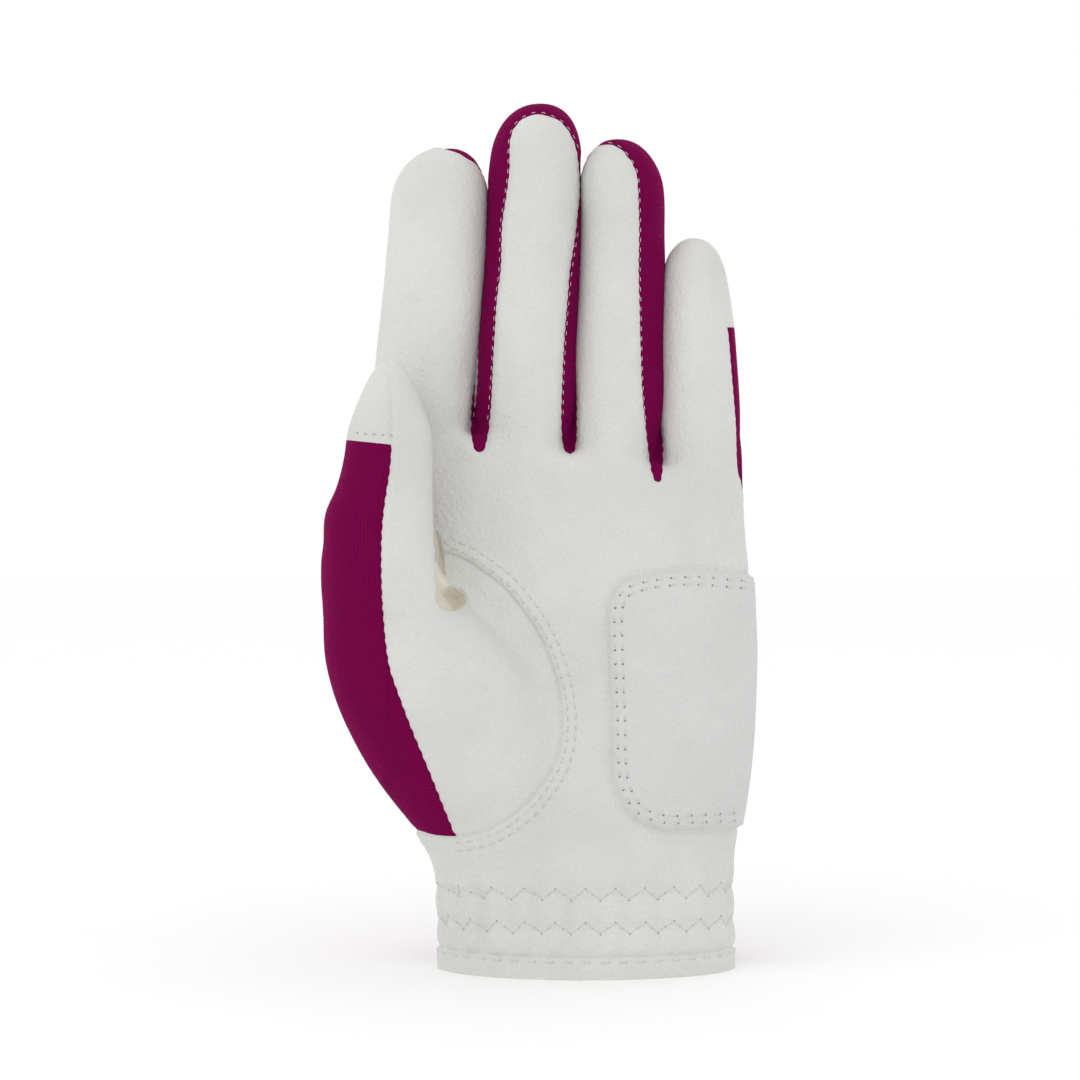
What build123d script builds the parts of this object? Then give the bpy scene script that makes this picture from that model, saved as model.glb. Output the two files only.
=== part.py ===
from build123d import *
from math import copysign, cos, radians, sin, tan
import os

# Golf glove for a left hand, worn shape, standing on its hem.
# Millimetres.  +Z runs to the fingertips, the palm faces -Y, the thumb is at -X.
# The origin is the middle of the wrist opening, in the plane of the hem.

os.makedirs("parts", exist_ok=True)

# ---------------------------------------------------------------- dimensions
skin = 0.8                # glove leather and knit, one thickness all over
fold_gap = 0.6            # clearance at each fold line between moving pieces

# The hand without its thumb: height, centre x, width, depth, squareness.
# Squareness 2 is an ellipse, and a larger value is a squarer oblong.
hand_levels = [
    (0.0, 0.0, 68.0, 38.0, 2.0),
    (18.0, 0.0, 68.0, 37.0, 2.0),
    (45.0, -1.2, 78.6, 34.0, 2.2),
    (75.0, -3.4, 86.4, 32.0, 2.4),
    (103.0, -5.8, 85.4, 27.0, 2.7),
]
knuckle_height = 118.0    # top of the palm, at the knuckle line's middle
knuckle_x = -6.0
knuckle_width = 83.5
knuckle_depth = 22.5
knuckle_squareness = 3.0
knuckle_slope = 9.5       # degrees, lower towards the little finger

# The ball of the thumb: height, centre x, centre y, half width, half depth.
thumb_levels = [
    (25.0, -22.0, -9.5, 10.0, 6.0),
    (42.0, -28.0, -12.0, 18.0, 11.5),
    (57.0, -31.5, -15.0, 23.5, 14.0),
    (72.0, -36.5, -18.0, 22.0, 14.5),
    (85.0, -43.3, -20.8, 15.6, 13.6),
    (96.0, -46.2, -22.3, 12.6, 12.6),
]
thumb_fold_height = 96.0
thumb_root = (-46.4, -22.0, 88.0)
thumb_tip = (-44.4, -24.5, 138.9)
thumb_profile = [(12.6, 0.0), (12.3, 20.0), (9.9, 31.0), (7.4, 41.0), (4.9, 47.5)]

# Fingers: root and tip of the centre line (x, z), radius at the root and at
# the middle, turn of the side seam, and the heights of the fold lines.
fingers = {
    "index": dict(root=(-38.2, 100.0), tip=(-33.0, 190.2), radii=(11.0, 10.9), turn=30.0,
                  root_fold=None, mid_fold=149.0),
    "middle": dict(root=(-15.3, 100.0), tip=(-10.6, 200.3), radii=(10.4, 10.3), turn=8.0,
                   root_fold=124.0, mid_fold=152.0),
    "ring": dict(root=(6.5, 100.0), tip=(9.2, 192.3), radii=(9.7, 9.5), turn=0.0,
                 root_fold=124.0, mid_fold=151.0),
    "little": dict(root=(27.3, 95.0), tip=(25.8, 169.3), radii=(8.8, 8.4), turn=0.0,
                   root_fold=118.0, mid_fold=141.0),
}
finger_seam_y = -4.5      # white fronts lie ahead of this plane, knit backs behind
index_seam_y = -1.0

side_seam_y = 1.0         # palm panel in front of it, back panel behind it
heel_patch_thickness = 1.2
hem_height = 4.0
hem_thickness = 0.6
elastic_thickness = 0.6
elastic_width = 3.0
elastic_heights = {"wrist_elastic_lower": 7.6, "wrist_elastic_upper": 15.2}

slit_top = 44.0           # wrist slit in the middle of the back
slit_width = 6.0
slit_binding_width = 3.2
slit_binding_thickness = 0.7

tab_bottom = 9.0          # closure tab across the slit
tab_top = 33.0
tab_fold_x = -7.0
tab_end_x = 27.0
tab_base_end_x = -20.0
loop_patch_start_x = 6.5
loop_patch_end_x = 25.5
loop_thickness = 0.9
hook_start_x = 8.0
hook_clearance = 0.4
hook_thickness = 0.7
lining_thickness = 0.5
tab_thickness = 1.1


# ------------------------------------------------------------------- outlines
def oblong(x, width, depth, squareness, count=24):
    """Points round a rounded oblong centred at x."""
    points = []
    for step in range(count):
        angle = radians(360 / count * step)
        across = copysign(abs(cos(angle)) ** (2 / squareness), cos(angle))
        deep = copysign(abs(sin(angle)) ** (2 / squareness), sin(angle))
        points.append((x + width / 2 * across, depth / 2 * deep))
    return points


def hand_form(grow):
    """The hand without thumb and fingers, its sides moved outward by grow."""
    slope = tan(radians(knuckle_slope))
    top = Plane(
        origin=(knuckle_x, 0, knuckle_height + min(grow, 0)),
        x_dir=(1, 0, -slope),
        z_dir=(slope, 0, 1),
    )
    with BuildPart() as form:
        for height, x, width, depth, squareness in hand_levels:
            with BuildSketch(Plane.XY.offset(height)):
                with BuildLine():
                    Spline(
                        *oblong(x, width + 2 * grow, depth + 2 * grow, squareness),
                        periodic=True,
                    )
                make_face()
        with BuildSketch(top):
            with BuildLine():
                Spline(
                    *oblong(
                        0,
                        knuckle_width + 2 * grow,
                        knuckle_depth + 2 * grow,
                        knuckle_squareness,
                    ),
                    periodic=True,
                )
            make_face()
        loft()
    return form.part


def thumb_ball_form(grow):
    """The ball of the thumb, up to the thumb's fold line."""
    with BuildPart() as form:
        for height, x, y, half_width, half_depth in thumb_levels:
            with BuildSketch(Plane((x, y, height))):
                Ellipse(half_width + grow, half_depth + grow)
        loft()
    return form.part


def turned_form(root, tip, profile, grow):
    """A tapering finger with a domed tip, turned about the line root to tip."""
    base = Vector(*root)
    length = (Vector(*tip) - base).length
    along = (Vector(*tip) - base).normalized()
    across = Vector(0, 1, 0).cross(along).normalized()
    side = [(radius + grow, height) for radius, height in profile]
    with BuildPart() as form:
        with BuildSketch(Plane(origin=base, x_dir=across, z_dir=across.cross(along))):
            with BuildLine():
                Spline(*side, (0, length + grow), tangents=[(0, 1), (-1, 0)])
                Polyline((0, length + grow), (0, 0), side[0])
            make_face()
        revolve(axis=Axis(base, along))
    return form.part


def finger_form(name, grow):
    """One finger from inside the palm to its tip."""
    finger = fingers[name]
    root_x, root_z = finger["root"]
    tip_x, tip_z = finger["tip"]
    root_radius, mid_radius = finger["radii"]
    length = tip_z - root_z
    profile = [
        (root_radius, 0),
        (mid_radius, length - 32),
        (0.93 * mid_radius, length - 12),
        (0.66 * mid_radius, length - 3.6),
    ]
    return turned_form((root_x, 0, root_z), (tip_x, 0, tip_z), profile, grow)


def hand_fold_height(name):
    """Where a finger first leaves the hand as a moving piece."""
    finger = fingers[name]
    return finger["root_fold"] or finger["mid_fold"]


def whole_hand_form(grow):
    """Palm, ball of the thumb and finger roots as one solid."""
    with BuildPart() as form:
        add(hand_form(grow))
        add(thumb_ball_form(grow))
        for name in fingers:
            add(finger_root_form(name, grow))
    return form.part


def finger_root_form(name, grow):
    """The part of a finger that belongs to the hand."""
    with BuildPart() as form:
        add(finger_form(name, grow))
        split(bisect_by=Plane.XY.offset(hand_fold_height(name)), keep=Keep.BOTTOM)
    return form.part


def layer(inner, outer):
    """A skin round the hand between two distances from its surface."""
    with BuildPart() as form:
        add(hand_form(outer))
        add(hand_form(inner), mode=Mode.SUBTRACT)
    return form.part


def slit_outline(margin):
    """The wrist slit, a narrow opening with a round top, widened by margin."""
    half = slit_width / 2 + margin
    with BuildSketch(Plane.XZ) as outline:
        with BuildLine():
            Line((-half, -1), (half, -1))
            Line((half, -1), (half, slit_top - half + margin))
            ThreePointArc(
                (half, slit_top - half + margin),
                (0, slit_top + margin),
                (-half, slit_top - half + margin),
            )
            Line((-half, slit_top - half + margin), (-half, -1))
        make_face()
    return outline.sketch


def save(piece, name):
    """Label a finished piece and write it as its own file."""
    piece.part.label = name
    export_step(piece.part, f"parts/{name}.step")


# ------------------------------------------------------------- the hand's skin
with BuildPart() as hand_skin:
    add(whole_hand_form(0))
    add(whole_hand_form(-skin), mode=Mode.SUBTRACT)
    with BuildSketch():
        Rectangle(200, 200)
    extrude(amount=hem_thickness, mode=Mode.SUBTRACT)

# The thumb's own leather is set into the palm along a round seam.
with BuildPart() as thumb_zone:
    with BuildSketch(Plane.XZ.offset(2.0)):
        with BuildLine():
            Spline(
                (-24.0, 97.0),
                (-23.6, 91.7),
                (-11.1, 77.9),
                (-5.3, 57.5),
                (-11.1, 40.2),
                (-27.0, 28.5),
            )
            Polyline((-27.0, 28.5), (-36.0, 24.0), (-80.0, 24.0), (-80.0, 97.0), (-24.0, 97.0))
        make_face()
    extrude(amount=60)

# Knit covers the outer side of the thumb, left of this seam.
with BuildPart() as thumb_knit_zone:
    with BuildSketch(Plane.XZ.offset(-20)):
        with BuildLine():
            Spline(
                (-30.0, 20.0),
                (-35.8, 44.4),
                (-42.4, 61.9),
                (-45.6, 80.0),
                (-45.8, 97.0),
                (-44.0, 145.0),
            )
            Polyline((-44.0, 145.0), (-90.0, 145.0), (-90.0, 20.0), (-30.0, 20.0))
        make_face()
    extrude(amount=90)

with BuildPart() as back_zone:
    with BuildSketch(Plane.XZ.offset(-side_seam_y)):
        Rectangle(240, 500)
    extrude(amount=-60)

# A small gusset is let into the skin at the fold between thumb and palm.
with BuildPart() as gusset_zone:
    with BuildSketch(Plane.XZ):
        with Locations((-30.5, 88.0)):
            SlotOverall(13.0, 5.0, rotation=72)
    extrude(amount=60)

with BuildPart() as thumb_gusset:
    add(hand_skin.part)
    add(gusset_zone.part, mode=Mode.INTERSECT)
save(thumb_gusset, "thumb_gusset")

with BuildPart() as thumb_base_panel:
    add(hand_skin.part)
    add(thumb_zone.part, mode=Mode.INTERSECT)
    add(thumb_knit_zone.part, mode=Mode.SUBTRACT)
    add(gusset_zone.part, mode=Mode.SUBTRACT)
save(thumb_base_panel, "thumb_base_panel")

with BuildPart() as thumb_back_lower:
    add(hand_skin.part)
    add(thumb_zone.part, mode=Mode.INTERSECT)
    add(thumb_knit_zone.part, mode=Mode.INTERSECT)
save(thumb_back_lower, "thumb_back_lower")

with BuildPart() as palm_panel:
    add(hand_skin.part)
    add(thumb_zone.part, mode=Mode.SUBTRACT)
    add(back_zone.part, mode=Mode.SUBTRACT)
    add(gusset_zone.part, mode=Mode.SUBTRACT)
save(palm_panel, "palm_panel")

with BuildPart() as back_panel:
    add(hand_skin.part)
    add(thumb_zone.part, mode=Mode.SUBTRACT)
    add(back_zone.part, mode=Mode.INTERSECT)
    extrude(slit_outline(0), amount=-60, mode=Mode.SUBTRACT)
save(back_panel, "back_panel")

# ------------------------------------------------- patch, hem and wrist elastic
with BuildPart() as heel_patch:
    add(layer(0, heel_patch_thickness))
    with BuildSketch(Plane.XZ.offset(0.5)):
        with BuildLine():
            Spline((5.2, 80.0), (5.6, 62.0), (6.3, 44.0), (10.6, 34.7), (20.1, 31.4))
            Line((20.1, 31.4), (80.0, 32.4))
            Line((80.0, 32.4), (80.0, 91.4))
            Line((80.0, 91.4), (13.0, 91.4))
            ThreePointArc((13.0, 91.4), (7.4, 88.2), (5.2, 80.0))
        make_face()
    extrude(amount=60, mode=Mode.INTERSECT)
save(heel_patch, "heel_patch")

with BuildPart() as bound_edge:
    add(layer(-skin, 0))
    split(bisect_by=Plane.XY.offset(hem_thickness), keep=Keep.TOP)

with BuildPart() as hem_binding:
    add(layer(-skin - hem_thickness, hem_thickness))
    split(bisect_by=Plane.XY.offset(hem_height), keep=Keep.BOTTOM)
    add(bound_edge.part, mode=Mode.SUBTRACT)
    extrude(slit_outline(slit_binding_width), amount=-60, mode=Mode.SUBTRACT)
save(hem_binding, "hem_binding")

for name, height in elastic_heights.items():
    with BuildPart() as elastic:
        add(layer(-skin - elastic_thickness, -skin))
        with BuildSketch(Plane.XY.offset(height)):
            Rectangle(200, 200)
        extrude(amount=elastic_width, mode=Mode.INTERSECT)
        extrude(slit_outline(slit_binding_width), amount=-60, mode=Mode.SUBTRACT)
    save(elastic, name)

# ------------------------------------------------------- wrist slit and closure
with BuildPart() as slit_binding:
    add(layer(0, slit_binding_thickness))
    extrude(slit_outline(slit_binding_width), amount=-60, mode=Mode.INTERSECT)
    extrude(slit_outline(0), amount=-60, mode=Mode.SUBTRACT)
save(slit_binding, "slit_binding")


def back_strip(inner, outer, left, right, round_left=0.0, round_right=0.0, inset=0.0):
    """A strip over the back of the wrist, as high as the closure tab."""
    low = tab_bottom + inset
    high = tab_top - inset
    with BuildPart() as strip:
        add(layer(inner, outer))
        with BuildSketch(Plane.XZ) as outline:
            with Locations(((left + right) / 2, (low + high) / 2)):
                Rectangle(right - left, high - low)
            corners = outline.vertices().sort_by(Axis.X)
            if round_left:
                fillet(corners[:2], round_left)
            if round_right:
                fillet(corners[-2:], round_right)
        extrude(amount=-60, mode=Mode.INTERSECT)
    return strip.part


hook_start = loop_thickness + hook_clearance
lining_start = hook_start + hook_thickness
tab_start = lining_start + lining_thickness
tab_outside = tab_start + tab_thickness

with BuildPart() as loop_patch:
    add(back_strip(0, loop_thickness, loop_patch_start_x, loop_patch_end_x, inset=1.5,
                   round_left=2, round_right=2))
save(loop_patch, "loop_patch")

with BuildPart() as tab_base:
    add(back_strip(slit_binding_thickness, tab_outside, tab_base_end_x, tab_fold_x,
                   round_left=4))
    add(slit_binding.part, mode=Mode.SUBTRACT)
save(tab_base, "tab_base")

with BuildPart() as closure_tab:
    add(back_strip(tab_start, tab_outside, tab_fold_x + fold_gap, tab_end_x, round_right=9))
save(closure_tab, "closure_tab")

with BuildPart() as tab_lining:
    add(back_strip(lining_start, tab_start, tab_fold_x + fold_gap, tab_end_x - 0.8,
                   round_right=8, inset=0.8))
save(tab_lining, "tab_lining")

with BuildPart() as hook_patch:
    add(back_strip(hook_start, lining_start, hook_start_x, tab_end_x - 3, round_left=2,
                   round_right=6, inset=2.5))
save(hook_patch, "hook_patch")

# ----------------------------------------------------------------------- thumb
with BuildPart() as thumb_skin:
    add(turned_form(thumb_root, thumb_tip, thumb_profile, 0))
    add(turned_form(thumb_root, thumb_tip, thumb_profile, -skin), mode=Mode.SUBTRACT)
    split(bisect_by=Plane.XY.offset(thumb_fold_height + fold_gap), keep=Keep.TOP)

thumb_cap_seam = Plane((0, 0, 120.0))

with BuildPart() as thumb_palm_upper:
    add(thumb_skin.part)
    add(thumb_knit_zone.part, mode=Mode.SUBTRACT)
save(thumb_palm_upper, "thumb_palm_upper")

with BuildPart() as thumb_back_upper:
    add(thumb_skin.part)
    add(thumb_knit_zone.part, mode=Mode.INTERSECT)
    split(bisect_by=thumb_cap_seam, keep=Keep.BOTTOM)
save(thumb_back_upper, "thumb_back_upper")

with BuildPart() as thumb_tip_cap:
    add(thumb_skin.part)
    add(thumb_knit_zone.part, mode=Mode.INTERSECT)
    split(bisect_by=thumb_cap_seam, keep=Keep.TOP)
save(thumb_tip_cap, "thumb_tip_cap")

# --------------------------------------------------------------------- fingers
little_cap_zone = Plane((25.0, 0, 150.0), z_dir=(0, 0, 1))

for name, finger in fingers.items():
    turn = radians(finger["turn"])
    seam_y = index_seam_y if name == "index" else finger_seam_y
    seam = Plane((finger["root"][0], seam_y, 0), z_dir=(sin(turn), cos(turn), 0))

    with BuildPart() as finger_skin:
        add(finger_form(name, 0))
        add(finger_form(name, -skin), mode=Mode.SUBTRACT)

    stages = {"upper": (finger["mid_fold"] + fold_gap, 300)}
    if finger["root_fold"]:
        stages["lower"] = (finger["root_fold"] + fold_gap, finger["mid_fold"])

    for stage, (low, high) in stages.items():
        with BuildPart() as front:
            add(finger_skin.part)
            split(bisect_by=Plane.XY.offset(low), keep=Keep.TOP)
            split(bisect_by=Plane.XY.offset(high), keep=Keep.BOTTOM)
            split(bisect_by=seam, keep=Keep.BOTTOM)
        save(front, f"{name}_palm_{stage}")

        with BuildPart() as back:
            add(finger_skin.part)
            split(bisect_by=Plane.XY.offset(low), keep=Keep.TOP)
            split(bisect_by=Plane.XY.offset(high), keep=Keep.BOTTOM)
            split(bisect_by=seam, keep=Keep.TOP)
            if name == "little" and stage == "upper":
                split(bisect_by=little_cap_zone, keep=Keep.BOTTOM)
        save(back, f"{name}_back_{stage}")

    if name == "little":
        with BuildPart() as little_tip_cap:
            add(finger_skin.part)
            split(bisect_by=little_cap_zone, keep=Keep.TOP)
            split(bisect_by=seam, keep=Keep.TOP)
        save(little_tip_cap, "little_tip_cap")
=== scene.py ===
import math
import bpy
import numpy as np
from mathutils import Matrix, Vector
from mathutils.bvhtree import BVHTree


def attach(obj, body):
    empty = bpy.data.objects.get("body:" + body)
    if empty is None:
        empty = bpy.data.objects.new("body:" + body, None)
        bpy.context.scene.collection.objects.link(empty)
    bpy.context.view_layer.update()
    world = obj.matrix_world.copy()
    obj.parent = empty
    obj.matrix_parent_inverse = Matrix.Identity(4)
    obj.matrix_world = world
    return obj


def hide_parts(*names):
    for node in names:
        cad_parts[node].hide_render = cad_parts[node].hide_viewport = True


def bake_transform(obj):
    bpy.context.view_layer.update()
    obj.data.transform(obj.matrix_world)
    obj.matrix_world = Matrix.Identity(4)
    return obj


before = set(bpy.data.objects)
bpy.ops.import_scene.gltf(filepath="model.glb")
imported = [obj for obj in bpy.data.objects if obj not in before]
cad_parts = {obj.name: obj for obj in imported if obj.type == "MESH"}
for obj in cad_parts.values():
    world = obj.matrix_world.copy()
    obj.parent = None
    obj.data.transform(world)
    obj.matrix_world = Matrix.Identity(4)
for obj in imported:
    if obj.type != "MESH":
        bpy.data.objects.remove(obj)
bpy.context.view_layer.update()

# A golf glove, palm to the camera. Lengths are millimetres until a mesh is made.
MM = 0.001
GRID = 0.75
GRID_SHIFT = 0.013
SNAP = 0.04
SKIN = 0.8
SCALLOP = 2.4
HEM_TOP = 5.0

# ---- camera geometry
# Seams seen on the palm side are given on the plane Y = 0 as the camera sees
# them; `seen` carries any point of the glove onto that plane.
CAM = np.array([-10.3, -600.0, 99.1])


def seen(p):
    k = -CAM[1] / (p[:, 1] - CAM[1])
    return np.stack([CAM[0] + (p[:, 0] - CAM[0]) * k, CAM[2] + (p[:, 2] - CAM[2]) * k], 1)


# ---- the shape
def curve(z, table, column):
    """Smooth value down a table of rows sorted by their first column."""
    xs = np.array([row[0] for row in table], float)
    ys = np.array([row[column] for row in table], float)
    slope = np.gradient(ys, xs)
    z = np.clip(z, xs[0], xs[-1])
    i = np.clip(np.searchsorted(xs, z, side="right") - 1, 0, len(xs) - 2)
    w = xs[i + 1] - xs[i]
    t = (z - xs[i]) / w
    t2, t3 = t * t, t * t * t
    return ((2 * t3 - 3 * t2 + 1) * ys[i] + (t3 - 2 * t2 + t) * w * slope[i]
            + (3 * t2 - 2 * t3) * ys[i + 1] + (t3 - t2) * w * slope[i + 1])


def smin(a, b, k):
    h = np.clip(0.5 + 0.5 * (b - a) / k, 0, 1)
    return b * (1 - h) + a * h - k * h * (1 - h)


def smax(a, b, k):
    return -smin(-a, -b, k)


# Palm: height, left, right, depth, squareness
PALM = [(-6, -33.6, 34.2, 38, 2), (6, -33.8, 34.6, 37.6, 2), (20, -34, 34.3, 36.6, 2.1),
        (34, -37, 36, 35, 2.2), (48, -40, 37.9, 34.2, 2.2), (66, -43.5, 38.9, 33, 2.3),
        (84, -46.5, 38.6, 31, 2.5), (100, -48, 37.2, 26.4, 2.6), (112, -48.2, 36.2, 22.4, 2.6),
        (119, -48.1, 35.9, 20.4, 2.6), (126, -48, 35.6, 18.4, 2.6)]
# Ball of the thumb: height, centre x, centre y, half width, half depth
BALL = [(22, -22, -9, 9, 4.5), (32, -24.5, -10.5, 13.5, 8), (44, -28.5, -12.5, 18.5, 11.3),
        (57, -32, -15, 22.3, 13.6), (70, -36.5, -17.6, 22, 14), (82, -42, -20, 17, 13.4),
        (90, -45.2, -22, 13.8, 12.8), (98, -46.2, -23.5, 11.6, 11.4), (106, -46.2, -24.5, 10.5, 10.5)]
# Fingers and thumb: height, centre x, centre y, radius; start and height of the dome;
# heights where the piece leaves the hand, where it parts in two, and of the knuckle
DIGITS = {
    "index": dict(rows=[(96, -38.2, 0.3, 10.6), (122, -37.5, 0.2, 10.9), (130, -37.2, 0, 12),
                        (139, -36.6, 0, 12.1), (146, -36, 0, 11.9), (157, -35.2, 0, 11.7),
                        (169, -34.3, 0, 11.5), (178, -33.7, 0, 11.3), (190, -32.6, 0, 10.6)],
                  dome=(177.5, 12.7), cut=126, part=139, fold=149, body="index_tip"),
    "middle": dict(rows=[(96, -15.3, 0, 9.9), (122, -14.2, 0, 10.5), (130, -13.9, 0, 12),
                         (146, -13.2, 0, 11.9), (157, -12.4, 0, 11.4), (169, -11.8, 0, 11.2),
                         (180, -11.6, 0, 11.1), (200, -10.3, 0, 9.9)],
                   dome=(187.5, 12.8), cut=126, part=142.5, fold=152, body="middle_tip"),
    "ring": dict(rows=[(96, 6.6, 0, 9.3), (122, 7.3, 0, 9.7), (130, 7.9, 0, 10.6), (146, 8.2, 0, 10.5),
                       (157, 8.7, 0, 10.1), (169, 8.9, 0, 9.8), (180, 8.8, 0, 9.7), (192, 7.6, 0, 9.1)],
                 dome=(180.5, 11.8), cut=126, part=141.5, fold=151, body="ring_tip"),
    "little": dict(rows=[(92, 26.8, 0, 8.6), (118, 27.1, 0, 9.1), (128, 26.9, 0, 9.2), (139, 26.6, 0, 9),
                         (149, 26.3, 0, 8.5), (157, 25.9, 0, 7.7), (163, 25.6, 0, 6.9), (169, 25.5, 0, 6.2)],
                   dome=(160, 9.3), cut=120, part=131.5, fold=141, body="little_tip"),
    "thumb": dict(rows=[(84, -44, -21, 13), (90, -45.2, -22.4, 12.9), (98, -46, -23.6, 12.6),
                        (105.5, -45.9, -24.2, 12.1), (110.5, -44.9, -24.5, 11), (117, -44.1, -24.8, 10),
                        (123.5, -43.8, -25, 9.3), (128, -43.8, -25, 8.2), (132.5, -43.8, -25, 7.1),
                        (139, -43.7, -25, 6)],
                  dome=(122, 17.2), cut=99, fold=96, body="thumb"),
}


def palm_field(p):
    x, y, z = p[..., 0], p[..., 1], p[..., 2]
    left, right = curve(z, PALM, 1), curve(z, PALM, 2)
    a, b, n = (right - left) / 2, curve(z, PALM, 3) / 2, curve(z, PALM, 4)
    u, v = np.abs(x - (left + right) / 2), np.abs(y)
    rho = ((u / a) ** n + (v / b) ** n) ** (1 / n)
    side = (rho - 1) * np.sqrt(u * u + v * v) / np.maximum(rho, 1e-3)
    side = np.where(rho < 0.2, -b, side)
    # crotches are lower towards the little finger, and the knit behind them is higher
    crotch = 119.5 - 0.165 * (x + 3.0)
    web = 11.0 / (1 + np.exp(-(y + 1.5) / 0.7)) + 2.0 / (1 + np.exp(-(y - 5.0) / 1.0))
    shoulder = 2.0 * np.clip((np.abs(x + 5) - 34) / 12, 0, 1)
    return smax(side, z - (crotch + web - shoulder), 5.0)


def ball_field(p):
    x, y, z = p[..., 0], p[..., 1], p[..., 2]
    a, b = curve(z, BALL, 3), curve(z, BALL, 4)
    u, v = x - curve(z, BALL, 1), y - curve(z, BALL, 2)
    rho = np.sqrt((u / a) ** 2 + (v / b) ** 2)
    d = (rho - 1) * np.sqrt(u * u + v * v) / np.maximum(rho, 1e-3)
    d = np.where(rho < 0.1, -b, d)
    return smax(smax(d, z - 97, 4), 22 - z, 2)


def digit_field(p, name):
    digit = DIGITS[name]
    x, y, z = p[..., 0], p[..., 1], p[..., 2]
    start, height = digit["dome"]
    r = curve(z, digit["rows"], 3)
    q = np.sqrt((x - curve(z, digit["rows"], 1)) ** 2 + (y - curve(z, digit["rows"], 2)) ** 2)
    t = np.maximum(z - start, 0) / height
    d = r * (((q / r) ** 2.3 + t ** 2.3) ** (1 / 2.3) - 1)
    return smax(d, digit["rows"][0][0] - z, 1)


def core_field(p):
    return smin(palm_field(p), ball_field(p), 9.0)


def finger_field(p, name):
    return smin(digit_field(p, name), core_field(p), 3.0)


def hand_field(p):
    core = core_field(p)
    best = smin(digit_field(p, "thumb"), core, 3.0)
    for name in ("index", "middle", "ring", "little"):
        best = np.minimum(best, smin(digit_field(p, name), core, 3.0))
    return best


# ---- meshing
def net(field, low, high):
    """Surface net of a field's zero level, on a grid shared by every piece."""
    i0 = np.floor(np.array(low) / GRID).astype(int)
    i1 = np.ceil(np.array(high) / GRID).astype(int)
    axes = [np.arange(i0[k], i1[k] + 1) * GRID + GRID_SHIFT for k in range(3)]
    grid = np.stack(np.meshgrid(*axes, indexing="ij"), -1)
    f = np.empty(grid.shape[:3])
    for k in range(grid.shape[2]):
        f[:, :, k] = field(grid[:, :, k])
    inside = f < 0
    total = np.zeros(tuple(np.array(f.shape) - 1) + (3,))
    count = np.zeros(tuple(np.array(f.shape) - 1))
    n = np.array(f.shape)
    quads = []
    for axis in range(3):
        lo = [slice(None)] * 3
        hi = [slice(None)] * 3
        lo[axis], hi[axis] = slice(0, -1), slice(1, None)
        a, b = f[tuple(lo)], f[tuple(hi)]
        cross = (a < 0) != (b < 0)
        t = np.where(cross, a / np.where(cross, a - b, 1), 0)
        pos = grid[tuple(lo)] + 0.0
        pos[..., axis] += t * GRID
        o1, o2 = [k for k in range(3) if k != axis]
        for s1 in (0, 1):
            for s2 in (0, 1):
                cut = [slice(None)] * 3
                cut[o1] = slice(s1, n[o1] - 1 + s1)
                cut[o2] = slice(s2, n[o2] - 1 + s2)
                c = cross[tuple(cut)]
                total += np.where(c[..., None], pos[tuple(cut)], 0)
                count += c
        inner = [slice(None)] * 3
        inner[o1], inner[o2] = slice(1, -1), slice(1, -1)
        where = np.argwhere(cross[tuple(inner)])
        where[:, o1] += 1
        where[:, o2] += 1
        flip = inside[tuple(lo)][tuple(where.T)]
        corners = []
        for s1, s2 in ((0, 0), (1, 0), (1, 1), (0, 1)):
            c = where.copy()
            c[:, o1] -= 1 - s1
            c[:, o2] -= 1 - s2
            corners.append(c)
        if axis == 1:
            flip = ~flip
        quads.append((np.stack(corners, 1), flip))
    index = -np.ones(count.shape, int)
    used = count > 0
    index[used] = np.arange(used.sum())
    verts = total[used] / count[used][:, None]
    tris = []
    for corners, flip in quads:
        q = index[corners[..., 0], corners[..., 1], corners[..., 2]]
        q = np.where(flip[:, None], q, q[:, ::-1])
        tris += [q[:, [0, 1, 2]], q[:, [0, 2, 3]]]
    tris = np.concatenate(tris)
    for _ in range(2):
        g, f0 = gradient(field, verts)
        step = np.clip(f0 / np.maximum((g * g).sum(1), 0.05), -0.6, 0.6)
        verts = verts - g * step[:, None]
    return verts, tris


def gradient(field, p, e=0.05):
    f0 = field(p)
    g = np.stack([(field(p + e * np.eye(3)[k]) - f0) / e for k in range(3)], 1)
    return g, f0


def slice_mesh(verts, tris, s):
    """Cut triangles along s = 0; returns points, triangles, where each came from, and its side."""
    s = np.where(np.abs(s) < SNAP, np.where(s < 0, -SNAP, SNAP), s)
    side = s[tris] > 0
    whole = side.all(1) | ~side.any(1)
    mixed, ms = tris[~whole], side[~whole]
    lone = np.where(ms.sum(1) == 1, ms.argmax(1), (~ms).argmax(1))
    rows = np.arange(len(mixed))
    a, b, c = mixed[rows, lone], mixed[rows, (lone + 1) % 3], mixed[rows, (lone + 2) % 3]
    edges = np.sort(np.concatenate([np.stack([a, b], 1), np.stack([a, c], 1)]), 1)
    unique, inverse = np.unique(edges, axis=0, return_inverse=True)
    inverse = inverse.reshape(-1)
    t = s[unique[:, 0]] / (s[unique[:, 0]] - s[unique[:, 1]])
    new = verts[unique[:, 0]] * (1 - t)[:, None] + verts[unique[:, 1]] * t[:, None]
    ab, ac = inverse[:len(a)] + len(verts), inverse[len(a):] + len(verts)
    alone = ms[rows, lone]
    cut = [np.stack([a, ab, ac], 1), np.stack([ab, b, c], 1), np.stack([ab, c, ac], 1)]
    source = np.concatenate([np.flatnonzero(whole)] + [np.flatnonzero(~whole)] * 3)
    return (np.concatenate([verts, new]), np.concatenate([tris[whole]] + cut), source,
            np.concatenate([side[whole, 0], alone, ~alone, ~alone]))


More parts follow.
